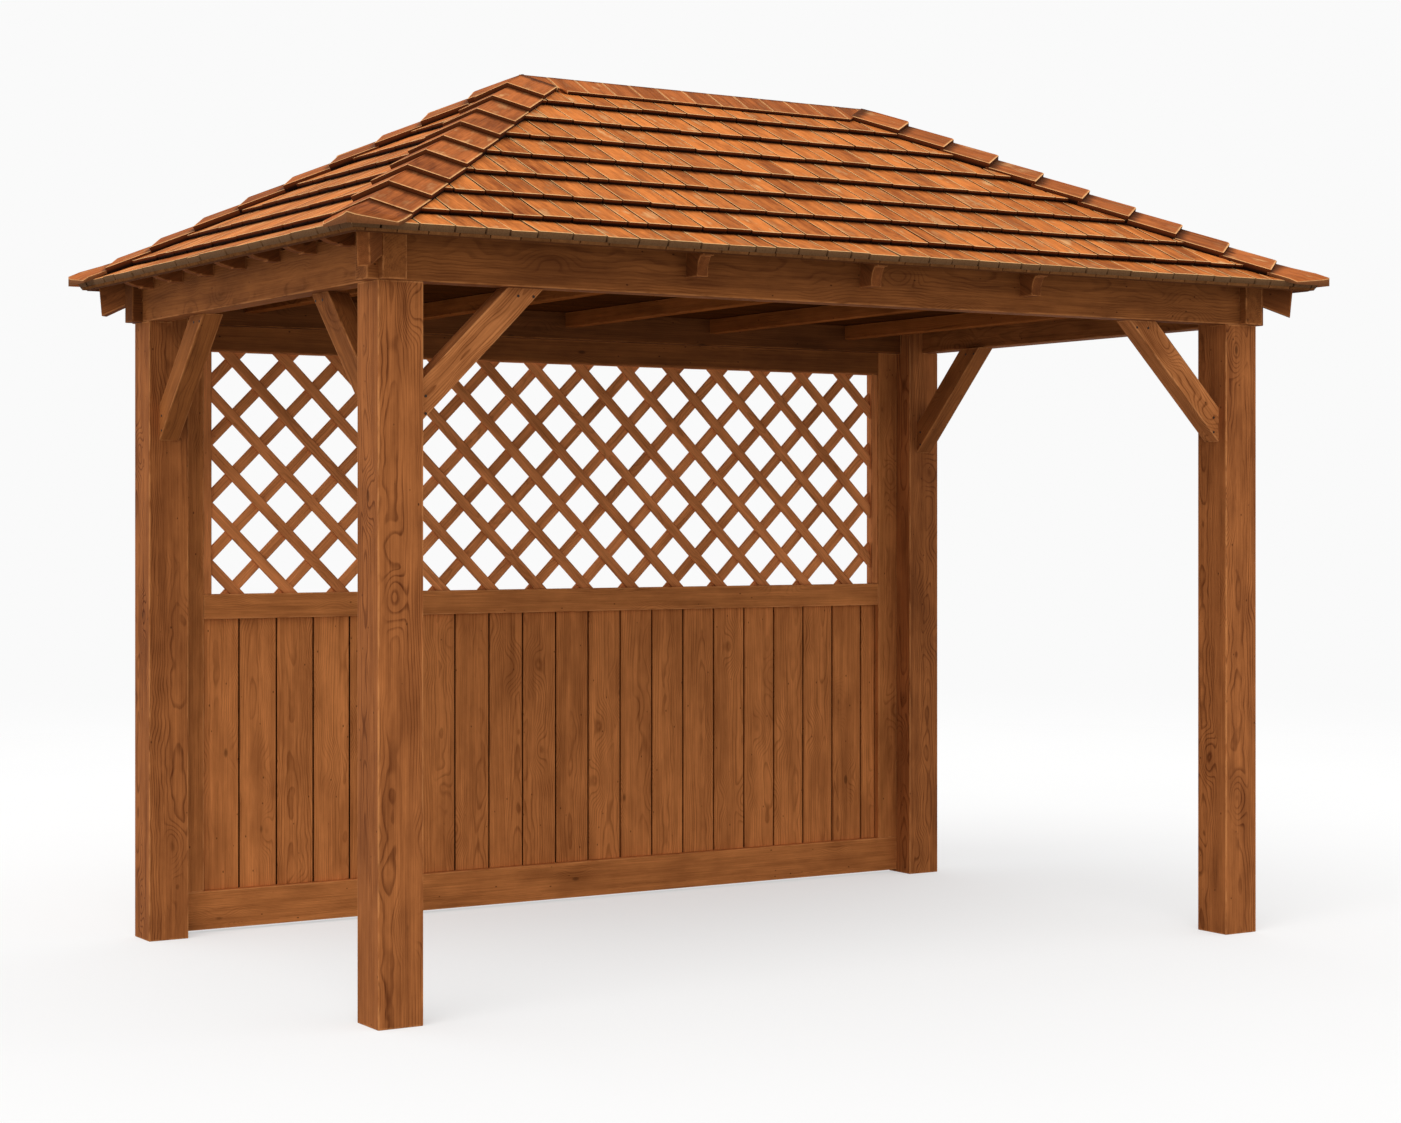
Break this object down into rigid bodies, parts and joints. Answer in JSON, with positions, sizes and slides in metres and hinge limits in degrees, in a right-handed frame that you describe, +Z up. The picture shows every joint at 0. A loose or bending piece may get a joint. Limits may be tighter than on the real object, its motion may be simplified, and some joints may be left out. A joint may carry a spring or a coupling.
{
  "type": "garden gazebo",
  "caption": "Open-fronted timber garden gazebo with a shingled hip roof, knee-braced posts and a back side boarded below and latticed above.",
  "frame": {"origin": "on the ground in the middle of the plan", "axes": "+X along the open front from left to right, +Y from the open front to the closed back, +Z up"},
  "size_m": [3.68, 2.31, 2.9006],
  "materials": {
    "posts": "matte oiled cedar",
    "beams": "matte oiled cedar",
    "braces": "matte oiled cedar",
    "panel_frame": "matte oiled cedar",
    "panel_boards": "matte oiled cedar",
    "lattice": "matte oiled cedar",
    "ceiling": "matte oiled cedar",
    "roof_frame": "matte oiled cedar",
    "roof_deck": "matte oiled cedar",
    "shingles": "matte oiled cedar shingle",
    "roof_caps": "matte oiled cedar shingle"
  },
  "bodies": {
    "root": {"post_front_left": "posts", "post_front_right": "posts", "post_back_left": "posts", "post_back_right": "posts", "beam_front": "beams", "beam_back": "beams", "beam_left": "beams", "beam_right": "beams", "brace_front_left": "braces", "brace_front_right": "braces", "brace_left_front": "braces", "brace_left_back": "braces", "brace_right_front": "braces", "brace_right_back": "braces", "panel_bottom_rail": "panel_frame", "panel_middle_rail": "panel_frame", "panel_top_rail": "panel_frame", "panel_left_stile": "panel_frame", "panel_right_stile": "panel_frame", "panel_boards": "panel_boards", "lattice": "lattice", "ceiling_joists": "ceiling", "ceiling_boards": "ceiling", "rafters_front": "roof_frame", "rafters_back": "roof_frame", "rafters_left": "roof_frame", "rafters_right": "roof_frame", "hip_rafter_front_left": "roof_frame", "hip_rafter_front_right": "roof_frame", "hip_rafter_back_left": "roof_frame", "hip_rafter_back_right": "roof_frame", "ridge_board": "roof_frame", "roof_deck_front": "roof_deck", "roof_deck_back": "roof_deck", "roof_deck_left": "roof_deck", "roof_deck_right": "roof_deck", "shingles_front": "shingles", "shingles_back": "shingles", "shingles_left": "shingles", "shingles_right": "shingles", "hip_caps_front_left": "roof_caps", "hip_caps_front_right": "roof_caps", "hip_caps_back_left": "roof_caps", "hip_caps_back_right": "roof_caps", "ridge_cap": "roof_caps"}
  },
  "joints": []
}
